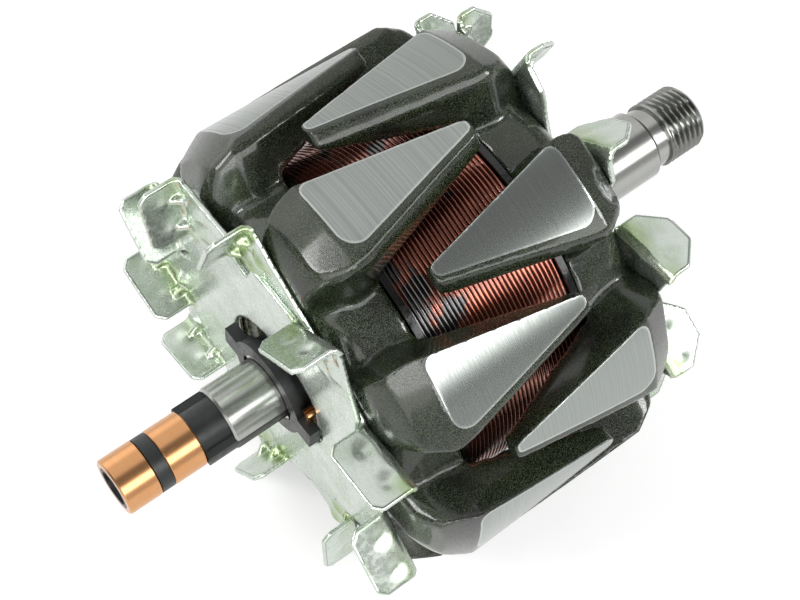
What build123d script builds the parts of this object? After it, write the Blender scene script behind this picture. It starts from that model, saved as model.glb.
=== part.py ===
from build123d import *

import os
from math import cos, radians, sin, tan

# Claw-pole alternator rotor, in millimetres. The shaft lies along X with the threaded drive end at +X,
# and +Z is up. Lengths along the shaft are measured from the middle plane between the two claw poles,
# and the finished pieces are then moved so that the origin is where the drive-end bearing seat starts.

# Claw poles
claw_count = 8
claw_radius = 54.0
claw_angle = 93.1
claw_tip_x = 12.8
claw_base_x = 23.7
claw_tip_half_width = 1.7
claw_base_half_width = 9.3
claw_corner_radius = 4.5
claw_tip_thickness = 4.0
claw_root_thickness = 12.5
claw_chamfer_width = 3.4
claw_chamfer_slope = 42.0
claw_chamfer_tip_share = 0.6
claw_edge_chamfer = 1.0
pole_face_x = 33.5
pole_face_radius = 45.0
bevel_end_x = 28.9
bevel_slope = 28.0
shoulder_bulge = 1.0
shoulder_lean = 0.6
pole_disc_thickness = 15.5
pole_valley_radius = 40.0
pole_root_half_width = 8.0
pole_root_lean = 1.0
overrun = 1.0
pole_root_fillet = 6.0
valley_drop = 3.5
winding_depth = 15.5
core_radius = claw_radius - claw_root_thickness - winding_depth
claw_foot_depth = 2.0
balance_hole_radius = 5.0
balance_hole_depth = 3.0
balance_hole_place_radius = 48.0
balance_hole_angle = 120.0

# Shaft
shaft_core_radius = 9.0
drive_seat_radius = 8.5
drive_shoulder_radius = 8.9
drive_seat_start_x = 53.0
drive_seat_end_x = 67.2
thread_radius = 8.0
thread_start_x = 71.3
thread_end_x = 82.1
relief_radius = 7.3
thread_chamfer = 1.2
rear_seat_radius = 7.5
rear_seat_start_x = -38.5
rear_seat_end_x = -51.4
rear_shoulder_step = 0.6
seat_end_chamfer = 0.5
relief_taper = 0.8
tail_radius = 4.0
centre_hole_radius = 2.2
centre_hole_depth = 5.0

# Slip rings and their moulding
slip_ring_radius = 6.6
slip_ring_wall = 1.6
slip_ring_width = 8.1
slip_ring_gap = 3.0
slip_ring_end_x = -77.5
tail_recess = 2.0
moulding_neck_radius = 5.6
lead_bar_width = 3.6
lead_bar_depth = 2.4
lead_bar_angle = 186.0
lead_bar_sink = 0.25
lead_bar_past_seat = 1.5
slot_clearance = 0.05
slip_ring_edge = 0.35

# Collar round the shaft behind the rear bearing
collar_radius = 11.5
collar_flange_thickness = 2.6
collar_hub_radius = 10.2
collar_arm_width = 6.0
collar_arm_length = 15.5
terminal_inner_radius = 12.4
terminal_thickness = 0.9
terminal_width = 2.2
terminal_x = -36.2

# Field winding and its bobbin
winding_below_flange = 1.0
bobbin_to_claw = 0.3
winding_edge_chamfer = 1.6
bobbin_flange_thickness = 1.5
bobbin_tube_wall = 1.5
bobbin_clearance = 0.2

# Leads from the winding to the collar
lead_radius = 0.6
sleeve_to_corner = 2.8
lead_above_core = 5.0
lead_pitch_radius = core_radius + lead_above_core
lead_sides = 8
lead_groove_depth = 3.6
lead_groove_width = 3.8
lead_bore_radius = 1.5
sleeve_radius = 1.5
sleeve_clearance = 0.1
sleeve_length = 12.0

# Fans: plates pressed from sheet with blades bent up along their edges
sheet = 1.2
rear_blade_angles = (-41.8, -13.8, 17.2, 45.2, 76.2, 111.2, 149.2, 191.2, 234.2, 276.2)
drive_blade_angles = (1.0, 26.0, 50.0, 77.0, 108.0, 142.0, 178.0, 205.0, 236.0, 268.0, 300.0, 331.0)
blade_middle_radius = 44.0
blade_sweep = 36.0
blade_root_length = 17.0
blade_height = 10.5
rear_blade_corner = 1.9
drive_blade_corner = 5.0
bend_radius = 1.3
dart_places = (-4.2, 3.6)
dart_leg = 3.4
dart_width = 1.8
dart_root_share = 0.6
drive_hub_radius = 33.0
drive_petal_angle = 21.0
drive_petal_radius = 45.0
drive_petal_rim_share = 0.62
drive_petal_foot_share = 0.96
fan_rear_hole_radius = 16.0
fan_drive_hole_clearance = 0.3
fan_clearance = 0.8
lead_side_names = ("front", "back")


def turned(profile_points):
    """Revolve a closed outline of (x, radius) points about the shaft."""
    outline = Polyline(*[(x, 0.0, r) for x, r in profile_points], close=True)
    return revolve(make_face(outline), Axis.X, 360)


def ring(x_low, x_high, outer, inner=0.0):
    """A plain turned ring or disc between two places along the shaft."""
    return turned([(x_low, inner), (x_high, inner), (x_high, outer), (x_low, outer)])


def about_shaft(shape, angle):
    """Turn a shape modelled at the top of the rotor to an angle counted from +Y toward +Z."""
    return Rot(X=angle - 90.0) * shape


def bevel_radius(x):
    """The radius of the turned bevel at a distance from the middle plane."""
    return claw_radius - (x - claw_base_x) * tan(radians(bevel_slope))


def rear_pole_envelope():
    """The turned outside of the rear pole: rounded shoulder, bevel, cylinder and the claws' inner taper."""
    root_inner = claw_radius - claw_root_thickness
    tip_inner = claw_radius - claw_tip_thickness
    disc_inner_x = -pole_face_x + pole_disc_thickness
    bevel_end = bevel_radius(bevel_end_x)
    shoulder_x = -(pole_face_x + bevel_end_x) / 2 - shoulder_bulge * shoulder_lean
    shoulder_radius = (pole_face_radius + bevel_end) / 2 + shoulder_bulge
    return turned([
        (-pole_face_x, pole_face_radius),
        (shoulder_x, shoulder_radius),
        (-bevel_end_x, bevel_end),
        (-claw_base_x, claw_radius),
        (claw_tip_x, claw_radius),
        (claw_tip_x, tip_inner),
        (disc_inner_x, root_inner),
        (disc_inner_x, shaft_core_radius),
        (-pole_face_x, shaft_core_radius),
    ])


def claw_block():
    """One claw seen from outside, extruded radially: a long trapezoid with rounded base corners."""
    outline = Polyline(
        (claw_tip_x, claw_tip_half_width),
        (-claw_base_x, claw_base_half_width),
        (-pole_face_x - overrun, pole_root_half_width - pole_root_lean),
        (-pole_face_x - overrun, -pole_root_half_width),
        (-claw_base_x, -claw_base_half_width - claw_chamfer_width),
        (claw_tip_x, -claw_tip_half_width - claw_chamfer_width * claw_chamfer_tip_share),
        close=True,
    )
    face = make_face(outline)
    base_corners = [v for v in face.vertices() if abs(v.X + claw_base_x) < 0.01]
    face = fillet(base_corners, claw_corner_radius)
    inner = core_radius + claw_foot_depth
    block = extrude(Plane.XY.offset(inner) * face, claw_radius + claw_edge_chamfer / 2 - inner)
    block -= chamfer_cutter()
    top_edges = block.faces().sort_by(Axis.Z)[-1].edges()
    return chamfer(top_edges, claw_edge_chamfer)


def chamfer_cutter():
    """The slab above the long chamfer that runs down one side of each claw."""
    slope = (claw_base_half_width - claw_tip_half_width) / (claw_base_x + claw_tip_x)
    along = Vector(-1.0, -slope, 0.0).normalized()
    out = Vector(slope, -1.0, 0.0).normalized()
    drop = radians(claw_chamfer_slope)
    normal = Vector(0, 0, 1) * cos(drop) + out * sin(drop)
    mid_x = (claw_tip_x - claw_base_x) / 2.0
    mid_y = -(claw_tip_half_width + claw_base_half_width) / 2.0
    top = (claw_radius ** 2 - mid_y ** 2) ** 0.5
    plane = Plane(origin=(mid_x, mid_y, top), x_dir=along, z_dir=normal)
    reach = 2 * claw_radius
    return plane * Box(reach, reach, reach / 3, align=(Align.CENTER, Align.CENTER, Align.MIN))


def pole_disc():
    """The disc that carries the claws, with a rounded valley between each pair."""
    star = Circle(pole_valley_radius)
    for index in range(claw_count):
        angle = index * 360.0 / claw_count + 90.0
        length = pole_valley_radius + pole_root_fillet
        root = Rectangle(length, 2 * pole_root_half_width, align=(Align.MIN, Align.CENTER))
        star += Rot(Z=angle) * root
    corners = [v for v in star.vertices() if abs(Vector(v.X, v.Y, 0).length - pole_valley_radius) < 0.5]
    star = fillet(corners, pole_root_fillet)
    plane = Plane(origin=(-pole_face_x, 0, 0), x_dir=(0, 1, 0), z_dir=(1, 0, 0))
    disc = extrude(plane * star, pole_disc_thickness)
    disc_inner_x = -pole_face_x + pole_disc_thickness
    valley = turned([
        (-pole_face_x, 0.0),
        (-pole_face_x, pole_valley_radius - valley_drop),
        (-pole_face_x + valley_drop, pole_valley_radius),
        (disc_inner_x, claw_radius - claw_root_thickness + claw_foot_depth),
        (disc_inner_x, 0.0),
    ])
    return disc & valley


def rear_claw_pole():
    """The pole at the slip-ring end, with its claws pointing to the drive end."""
    claws = [Rot(X=index * 360.0 / claw_count) * claw_block() for index in range(claw_count)]
    pole = pole_disc()
    for claw in claws:
        pole += claw
    pole = pole & rear_pole_envelope()
    disc_inner_x = -pole_face_x + pole_disc_thickness
    pole += ring(disc_inner_x - overrun, 0.0, core_radius, shaft_core_radius)
    pole -= ring(-pole_face_x - overrun, overrun, shaft_core_radius)
    return about_shaft(pole, claw_angle)


def lead_angle(side):
    """Where a lead leaves the winding: in the valley one and a half claws from the first claw."""
    return claw_angle + 1.5 * 360.0 / claw_count + 180.0 * side


def bar_angle(side):
    return lead_bar_angle + 180.0 * side


def lead_passage(side):
    """The groove across the rear pole face and the hole through its disc for one lead."""
    low_radius = shaft_core_radius - overrun
    groove = Pos(-pole_face_x, 0, low_radius) * Box(
        2 * lead_groove_depth,
        lead_groove_width,
        lead_pitch_radius + lead_groove_width / 2 - low_radius,
        align=(Align.CENTER, Align.CENTER, Align.MIN),
    )
    hole = Pos(-pole_face_x, 0, lead_pitch_radius) * Rot(Y=90) * Cylinder(lead_bore_radius, 3 * pole_disc_thickness)
    return about_shaft(groove + hole, lead_angle(side))


def slotted_rear_pole():
    """The rear pole with the two lead passages cut in it."""
    pole = rear_claw_pole()
    for side in (0, 1):
        pole -= lead_passage(side)
    return pole


def drive_claw_pole():
    """The pole at the drive end: the same casting turned round, half a claw pitch on."""
    half_pitch = 180.0 / claw_count
    upright = about_shaft(rear_claw_pole(), 180.0 - claw_angle)
    pole = about_shaft(mirror(upright, Plane.YZ), claw_angle + half_pitch)
    drill = ring(pole_face_x - balance_hole_depth, pole_face_x + overrun, balance_hole_radius)
    pole -= about_shaft(Pos(0, 0, balance_hole_place_radius) * drill, balance_hole_angle)
    return pole


def shaft():
    """The shaft with its bearing seats, thread land, tail under the slip rings and key slots."""
    body = turned([
        (slip_ring_end_x + tail_recess, 0.0),
        (slip_ring_end_x + tail_recess, tail_radius),
        (rear_seat_end_x, tail_radius),
        (rear_seat_end_x, rear_seat_radius - seat_end_chamfer),
        (rear_seat_end_x + seat_end_chamfer, rear_seat_radius),
        (rear_seat_start_x, rear_seat_radius),
        (rear_seat_start_x, rear_seat_radius + rear_shoulder_step),
        (-pole_face_x, rear_seat_radius + rear_shoulder_step),
        (-pole_face_x, shaft_core_radius),
        (pole_face_x, shaft_core_radius),
        (pole_face_x, drive_shoulder_radius),
        (drive_seat_start_x, drive_shoulder_radius),
        (drive_seat_start_x, drive_seat_radius),
        (drive_seat_end_x, drive_seat_radius),
        (drive_seat_end_x + relief_taper, relief_radius),
        (thread_start_x - relief_taper, relief_radius),
        (thread_start_x, thread_radius),
        (thread_end_x - thread_chamfer, thread_radius),
        (thread_end_x, thread_radius - thread_chamfer),
        (thread_end_x, 0.0),
    ])
    body -= ring(thread_end_x - centre_hole_depth, thread_end_x + overrun, centre_hole_radius)
    for side in (0, 1):
        body -= about_shaft(lead_bar_block(slot_clearance), bar_angle(side))
    return body


def lead_bar_block(grow=0.0):
    """A straight bar let into the rear bearing seat, from the slip rings to the collar."""
    low = slip_ring_end_x + 2 * slip_ring_width + slip_ring_gap
    high = rear_seat_start_x + lead_bar_past_seat
    floor = rear_seat_radius - lead_bar_depth
    return Pos(low, 0, floor) * Box(
        high - low,
        lead_bar_width + 2 * grow,
        lead_bar_depth + overrun,
        align=(Align.MIN, Align.CENTER, Align.MIN),
    )


def lead_bar(angle):
    """The moulded channel that carries one lead under the rear bearing."""
    low = slip_ring_end_x + 2 * slip_ring_width + slip_ring_gap
    high = rear_seat_start_x + lead_bar_past_seat
    bar = lead_bar_block() & ring(low, high, rear_seat_radius - lead_bar_sink)
    return about_shaft(bar, angle)


def slip_ring(x_low):
    """One copper slip ring."""
    x_high = x_low + slip_ring_width
    inner = slip_ring_radius - slip_ring_wall
    return turned([
        (x_low, inner),
        (x_low, slip_ring_radius - slip_ring_edge),
        (x_low + slip_ring_edge, slip_ring_radius),
        (x_high - slip_ring_edge, slip_ring_radius),
        (x_high, slip_ring_radius - slip_ring_edge),
        (x_high, inner),
    ])


def slip_ring_moulding():
    """The insulating tube under the rings, the land between them and the neck up to the seat."""
    inner_wall = slip_ring_radius - slip_ring_wall
    gap_low = slip_ring_end_x + slip_ring_width
    gap_high = gap_low + slip_ring_gap
    ring_end = gap_high + slip_ring_width
    moulding = turned([
        (slip_ring_end_x, tail_radius),
        (slip_ring_end_x, inner_wall),
        (gap_low, inner_wall),
        (gap_low, slip_ring_radius - 0.1),
        (gap_high, slip_ring_radius - 0.1),
        (gap_high, inner_wall),
        (ring_end, inner_wall),
        (ring_end, moulding_neck_radius),
        (rear_seat_end_x, moulding_neck_radius),
        (rear_seat_end_x, tail_radius),
    ])
    for side in (0, 1):
        moulding -= about_shaft(lead_bar_block(), bar_angle(side))
    return moulding


def collar_inner_radius():
    return rear_seat_radius + rear_shoulder_step


def collar():
    """The black collar between the rear bearing seat and the fan."""
    body = turned([
        (rear_seat_start_x - 0.2, collar_inner_radius()),
        (rear_seat_start_x - 0.2, collar_radius),
        (rear_seat_start_x - 0.2 + collar_flange_thickness, collar_radius),
        (rear_seat_start_x - 0.2 + collar_flange_thickness, collar_hub_radius),
        (-pole_face_x, collar_hub_radius),
        (-pole_face_x, collar_inner_radius()),
    ])
    for side in (0, 1):
        low = rear_seat_start_x - 0.2
        arm = Pos(low, 0, collar_inner_radius()) * Box(
            -pole_face_x - 2 * sheet - low,
            collar_arm_width,
            collar_arm_length - collar_inner_radius(),
            align=(Align.MIN, Align.CENTER, Align.MIN),
        )
        body += about_shaft(arm, bar_angle(side))
    body -= ring(rear_seat_start_x - overrun, -pole_face_x + overrun, collar_inner_radius())
    for side in (0, 1):
        body -= about_shaft(lead_bar_block(slot_clearance), bar_angle(side))
        body -= terminal(side)
    return body


def terminal(side):
    """The copper strip that runs round the collar from one arm to the lead."""
    outer = terminal_inner_radius + terminal_thickness
    strip = ring(terminal_x - terminal_width / 2, terminal_x + terminal_width / 2, outer, terminal_inner_radius)
    sweep_angle = bar_angle(side) - lead_angle(side) + 4.0
    wedge = Polyline(
        (0, 0),
        (3 * outer, 0),
        (3 * outer * cos(radians(sweep_angle)), 3 * outer * sin(radians(sweep_angle))),
        close=True,
    )
    plane = Plane(origin=(terminal_x - 5, 0, 0), x_dir=(0, 1, 0), z_dir=(1, 0, 0))
    sector = Rot(X=lead_angle(side) - 4.0) * extrude(plane * make_face(wedge), 10)
    return strip & sector


def bobbin_flange_radius():
    """The flanges reach out to just inside the claws' roots."""
    return claw_radius - claw_root_thickness - bobbin_to_claw


def bobbin():
    """The insulating spool: a tube on the pole core with a flange against each pole disc."""
    half = pole_face_x - pole_disc_thickness - bobbin_clearance
    inner = core_radius + bobbin_clearance
    tube = inner + bobbin_tube_wall
    flange = bobbin_flange_radius()
    return turned([
        (-half, inner),
        (-half, flange),
        (-half + bobbin_flange_thickness, flange),
        (-half + bobbin_flange_thickness, tube),
        (half - bobbin_flange_thickness, tube),
        (half - bobbin_flange_thickness, flange),
        (half, flange),
        (half, inner),
    ])


def field_winding():
    """The copper winding as one solid ring filling the bobbin."""
    half = pole_face_x - pole_disc_thickness - bobbin_clearance - bobbin_flange_thickness
    inner = core_radius + bobbin_clearance + bobbin_tube_wall
    outer = bobbin_flange_radius() - winding_below_flange
    winding = ring(-half, half, outer, inner)
    rims = [edge for edge in winding.edges().filter_by(GeomType.CIRCLE) if edge.radius > outer - 0.01]
    return chamfer(rims, winding_edge_chamfer)


def blade_line(angle):
    """The two ends of a blade's bend line as (y, z), inner end first."""
    middle = Vector(blade_middle_radius * cos(radians(angle)), blade_middle_radius * sin(radians(angle)))
    half = blade_root_length / 2.0 * Vector(cos(radians(angle + blade_sweep)), sin(radians(angle + blade_sweep)))
    return middle - half, middle + half


def sheet_plate(outline, base_x, direction):
    """A flat plate of the fan's sheet lying on a pole face or on another plate."""
    low_x = base_x if direction > 0 else base_x - sheet
    plane = Plane(origin=(low_x, 0, 0), x_dir=(0, 1, 0), z_dir=(1, 0, 0))
    return extrude(plane * outline, sheet)


def saw_tooth_outline(angles):
    """The rear plates' outline: out along each bend line, then back to the foot of the next blade."""
    points = []
    for angle in angles:
        points.extend(blade_line(angle))
    return make_face(Polyline(*points, close=True))


def petal_outline(angles):
    """The drive fan's outline: a round hub with a petal under each blade."""
    outline = Circle(drive_hub_radius)
    for angle in angles:
        inner_end, outer_end = blade_line(angle)
        far = radians(angle + drive_petal_angle * drive_petal_rim_share)
        foot = radians(angle + drive_petal_angle)
        hub = drive_hub_radius * drive_petal_foot_share
        outline += make_face(Polyline(
            inner_end,
            outer_end,
            (drive_petal_radius * cos(far), drive_petal_radius * sin(far)),
            (hub * cos(foot), hub * sin(foot)),
            (hub * cos(radians(angle)), hub * sin(radians(angle))),
            close=True,
        ))
    return outline


def fan(outline, angles, base_x, direction, hole_radius, corner):
    """A pressed fan plate with a blade bent up along the edge of each tooth or petal."""
    plate = sheet_plate(outline, base_x, direction)
    plate -= ring(base_x - 2 * sheet, base_x + 2 * sheet, hole_radius)
    blade = fan_blade(corner)
    trim = bend_trim()
    for angle in angles:
        plate -= blade_place(trim, angle, base_x, direction)
    for angle in angles:
        plate += blade_place(blade, angle, base_x, direction)
    return plate


def blade_place(shape, angle, base_x, direction):
    """Move a blade, modelled with X along its bend line, Y into the plate and Z up, to its place."""
    middle = blade_middle_radius * Vector(0, cos(radians(angle)), sin(radians(angle)))
    along = Vector(0, cos(radians(angle + blade_sweep)), sin(radians(angle + blade_sweep)))
    if direction > 0:
        plane = Plane(origin=(base_x, middle.Y, middle.Z), x_dir=along, z_dir=(direction, 0, 0))
        return plane * shape
    plane = Plane(origin=(base_x, middle.Y, middle.Z), x_dir=-along, z_dir=(direction, 0, 0))
    return plane * mirror(shape, Plane.YZ)


def bend_trim():
    """The strip of flat plate that gives way to the rounded bend."""
    width = bend_radius + sheet
    return Box(blade_root_length, width, 3 * sheet, align=(Align.CENTER, Align.MIN, Align.CENTER))


def fan_blade(corner):
    """One blade: a rounded bend at its foot, an upright leaf with cut corners and two pressed darts."""
    half = blade_root_length / 2.0
    outer_radius = bend_radius + sheet
    leaf_outline = Polyline(
        (-half, outer_radius),
        (half, outer_radius),
        (half, blade_height - corner),
        (half - corner, blade_height),
        (-half + corner, blade_height),
        (-half, blade_height - corner),
        close=True,
    )
    leaf = extrude(Plane(origin=(0, sheet, 0), x_dir=(1, 0, 0), z_dir=(0, -1, 0)) * make_face(leaf_outline), sheet)
    along = Plane(origin=(-half, 0, 0), x_dir=(0, 1, 0), z_dir=(1, 0, 0))
    bend_face = Pos(outer_radius, outer_radius) * (Circle(outer_radius) - Circle(bend_radius))
    bend_face &= Rectangle(outer_radius, outer_radius, align=(Align.MIN, Align.MIN))
    bend = extrude(along * bend_face, blade_root_length)
    blade = leaf + bend
    for place in dart_places:
        blade += dart(place)
    return blade


def dart(place):
    """A pressed dart that stiffens the bend: a small three-cornered rib across its inside."""
    plane = Plane(origin=(place - dart_width / 2, 0, 0), x_dir=(0, 1, 0), z_dir=(1, 0, 0))
    rib = Polyline(
        (sheet * dart_root_share, sheet * dart_root_share),
        (sheet + dart_leg, sheet * dart_root_share),
        (sheet + dart_leg, sheet),
        (sheet, sheet + dart_leg),
        (sheet * dart_root_share, sheet + dart_leg),
        close=True,
    )
    return extrude(plane * make_face(rib), dart_width)


def lead_route():
    """The centre line of a lead at the top of the rotor: through the disc, down the groove, out to its terminal."""
    groove_x = -pole_face_x + lead_groove_depth / 2.0
    low_radius = terminal_inner_radius + terminal_thickness + lead_radius
    return Polyline(
        (-pole_face_x + pole_disc_thickness + bobbin_clearance, 0, lead_pitch_radius),
        (groove_x, 0, lead_pitch_radius),
        (groove_x, 0, low_radius),
        (terminal_x - terminal_width / 2, 0, low_radius),
    )


def lead(side):
    """One end of the winding, from the bobbin through the pole disc to its terminal."""
    route = lead_route()
    section = Plane(origin=route @ 0, z_dir=route % 0) * RegularPolygon(lead_radius, lead_sides)
    wire = sweep(section, path=route, transition=Transition.RIGHT)
    return about_shaft(wire, lead_angle(side))


def lead_sleeve(side):
    """The insulating sleeve on the part of the lead that lies in the pole's groove."""
    groove_x = -pole_face_x + lead_groove_depth / 2.0
    top = lead_pitch_radius - sleeve_to_corner
    outer = Pos(groove_x, 0, top - sleeve_length / 2) * Cylinder(sleeve_radius, sleeve_length)
    inner = Pos(groove_x, 0, top - sleeve_length / 2) * Cylinder(lead_radius + sleeve_clearance, sleeve_length + 1)
    return about_shaft(outer - inner, lead_angle(side))


def rear_fan_plates():
    """The two stacked plates of the rear fan; the outer one is notched round the blades of the inner one."""
    inner_angles = rear_blade_angles[0::2]
    outer_angles = rear_blade_angles[1::2]
    hole = fan_rear_hole_radius
    corner = rear_blade_corner
    inner_plate = fan(saw_tooth_outline(inner_angles), inner_angles, -pole_face_x, -1, hole, corner)
    outer_plate = fan(saw_tooth_outline(outer_angles), outer_angles, -pole_face_x - sheet, -1, hole, corner)
    for angle in inner_angles:
        outer_plate -= blade_notch(angle)
    return inner_plate, outer_plate


def blade_notch(angle):
    """The room that a blade of the inner plate takes in the outer plate."""
    room = Box(
        blade_root_length + 2 * fan_clearance,
        2 * fan_clearance + bend_radius + sheet + dart_leg,
        3 * sheet,
        align=(Align.CENTER, Align.MIN, Align.CENTER),
    )
    return blade_place(Pos(0, -fan_clearance, 0) * room, angle, -pole_face_x - 1.5 * sheet, -1)


def drive_fan():
    """The fan at the drive end, with rounder blades on a petalled plate."""
    outline = petal_outline(drive_blade_angles)
    hole = drive_shoulder_radius + fan_drive_hole_clearance
    return fan(outline, drive_blade_angles, pole_face_x, 1, hole, drive_blade_corner)


part_moves = Pos(-drive_seat_start_x, 0, 0)

rear_inner_plate, rear_outer_plate = rear_fan_plates()
pieces = {
    "shaft": shaft(),
    "rear_claw_pole": slotted_rear_pole(),
    "drive_claw_pole": drive_claw_pole(),
    "bobbin": bobbin(),
    "field_winding": field_winding(),
    "outer_slip_ring": slip_ring(slip_ring_end_x),
    "inner_slip_ring": slip_ring(slip_ring_end_x + slip_ring_width + slip_ring_gap),
    "slip_ring_moulding": slip_ring_moulding(),
    "collar": collar(),
    "rear_fan_inner_plate": rear_inner_plate,
    "rear_fan_outer_plate": rear_outer_plate,
    "drive_fan": drive_fan(),
}
for side, side_name in enumerate(lead_side_names):
    pieces[side_name + "_lead_bar"] = lead_bar(bar_angle(side))
    pieces[side_name + "_terminal"] = terminal(side)
    pieces[side_name + "_lead"] = lead(side)
    pieces[side_name + "_lead_sleeve"] = lead_sleeve(side)

os.makedirs("parts", exist_ok=True)
for name, shape in pieces.items():
    placed = part_moves * shape
    export_step(placed, "parts/" + name + ".step")
    print(name, round(placed.volume, 1))
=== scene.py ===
import math

import bmesh
import bpy
import numpy as np
from mathutils import Matrix, Vector


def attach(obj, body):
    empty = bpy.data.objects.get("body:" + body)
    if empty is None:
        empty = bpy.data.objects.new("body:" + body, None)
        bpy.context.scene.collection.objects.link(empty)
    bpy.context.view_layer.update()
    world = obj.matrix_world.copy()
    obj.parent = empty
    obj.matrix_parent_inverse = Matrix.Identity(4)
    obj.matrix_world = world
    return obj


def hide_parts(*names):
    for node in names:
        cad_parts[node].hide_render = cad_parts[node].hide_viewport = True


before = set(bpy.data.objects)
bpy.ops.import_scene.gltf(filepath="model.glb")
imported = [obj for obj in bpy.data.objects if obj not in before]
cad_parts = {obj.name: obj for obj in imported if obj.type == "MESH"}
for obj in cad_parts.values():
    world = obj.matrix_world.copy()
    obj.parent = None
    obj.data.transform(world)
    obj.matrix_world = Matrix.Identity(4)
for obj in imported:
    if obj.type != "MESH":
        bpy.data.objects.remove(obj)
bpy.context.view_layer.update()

bl_info = {
    "name": "Claw-pole rotor",
    "version": (1, 0, 0),
    "blender": (4, 5, 0),
    "location": "3D View > Sidebar > Rotor",
    "description": "Dresses the alternator rotor: claw poles, wound coil, pressed fans, shaft and slip rings",
    "category": "Object",
}

MM = 0.001
MIDDLE_X = -53.0
POLE_FACE_X = 33.5
SHEET = 1.2
CLAW_COUNT = 8
CLAW_RADIUS = 54.0
MIDDLE = np.array([MIDDLE_X, 0.0, 0.0])


def srgb(red, green, blue):
    """A colour given as it looks on screen, 0 to 255, in linear values."""
    linear = []
    for c in (red, green, blue):
        linear.append(((c / 255 + 0.055) / 1.055) ** 2.4 if c > 10 else c / 255 / 12.92)
    return tuple(linear)


VARNISH = srgb(24, 32, 19)
VARNISH_GRAIN = srgb(84, 98, 63)
VARNISH_SHADE = srgb(20, 24, 18)
MACHINED = srgb(160, 165, 161)
# Painted highlight: the light caught along the edges of the turned claw faces
TURNED_EDGE_HIGHLIGHT = srgb(222, 226, 222)
DRILLED_SHADE = srgb(58, 60, 50)
PLATED = srgb(206, 214, 206)
PLATING_STAIN = srgb(158, 178, 150)
# Painted shade: the dark line along the rounded rims of the fan blades
BLADE_RIM_SHADE = srgb(70, 84, 66)
OLIVE = srgb(150, 172, 112)
GROUND = srgb(168, 169, 165)
COPPER_WIRE = srgb(168, 100, 76)
WIRE_SHADE = srgb(92, 38, 28)
WIRE_RESIN = srgb(22, 20, 18)
COPPER_RING = srgb(206, 156, 112)
RING_SHADE = srgb(206, 148, 98)
PLASTIC = srgb(26, 29, 29)
BOBBIN_RESIN = srgb(9, 10, 8)
SLEEVE = srgb(214, 205, 170)

# Lathe marks: lines per metre along the shaft, and how fast they change round it
CLAW_LINES = (3400.0, 0.35)
SEAT_LINES = (6000.0, 0.4)
THREAD_LINES = (1800.0, 0.4)
RING_LINES = (7000.0, 0.5)
VARNISH_GRAINS = (4200.0, 0.51)
RAGGED_EDGE = 0.16
STEEL_ROUGHNESS = 0.2


def darker(colour, share):
    return tuple(c * share for c in colour)


def colour_prop(name, description, value):
    return bpy.props.FloatVectorProperty(
        name=name, description=description, default=value, subtype="COLOR", size=3, min=0.0, max=1.0
    )


def length_prop(name, description, millimetres):
    return bpy.props.FloatProperty(
        name=name, description=description, default=millimetres * MM, unit="LENGTH", precision=5
    )


class PoleSettings(bpy.types.PropertyGroup):
    voxel: length_prop("Grain", "Size of the mesh's cells on the castings", 0.9)
    first_angle: bpy.props.FloatProperty(
        name="First claw", description="Angle of the first rear claw",
        default=math.radians(93.1), unit="ROTATION"
    )
    varnish: colour_prop("Varnish", "Colour of the varnish on the castings", VARNISH)
    machined: colour_prop("Machined face", "Colour of the turned claw faces", MACHINED)


class CoilSettings(bpy.types.PropertyGroup):
    turns: bpy.props.IntProperty(
        name="Turns", description="Turns of wire in the outer layer", default=31, min=3
    )
    wire: length_prop("Wire", "Diameter of the wire", 1.02)
    radius: length_prop("Radius", "Radius of the winding", 40.2)
    colour: colour_prop("Wire colour", "Colour of the enamelled wire", COPPER_WIRE)


class ShaftSettings(bpy.types.PropertyGroup):
    pitch: length_prop("Pitch", "Pitch of the thread", 1.5)
    depth: length_prop("Depth", "Depth of the thread", 0.95)
    steel: colour_prop("Ground steel", "Colour of the ground seats", GROUND)


class FanSettings(bpy.types.PropertyGroup):
    cell: length_prop("Cell", "Size of the mesh's cells on the sheet", 0.45)
    plating: colour_prop("Plating", "Colour of the plated sheet", PLATED)
    tint: colour_prop("Tint", "Tint of the plating in its bends", OLIVE)


class TrimSettings(bpy.types.PropertyGroup):
    copper: colour_prop("Slip rings", "Colour of the slip rings", COPPER_RING)
    plastic: colour_prop("Moulding", "Colour of the moulded parts", PLASTIC)
    sleeve: colour_prop("Sleeve", "Colour of the woven sleeves", SLEEVE)


class StageSettings(bpy.types.PropertyGroup):
    lens: bpy.props.FloatProperty(name="Lens", description="Focal length in millimetres", default=76.24)
    floor_z: length_prop("Floor", "Height of the floor", -CLAW_RADIUS)
    white: colour_prop("Backdrop", "Colour of the floor and the backdrop", (1.0, 1.0, 1.0))


SETTINGS = {
    "rotor_poles": PoleSettings,
    "rotor_coil": CoilSettings,
    "rotor_shaft": ShaftSettings,
    "rotor_fans": FanSettings,
    "rotor_trim": TrimSettings,
    "rotor_stage": StageSettings,
}


# Node trees


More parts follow.
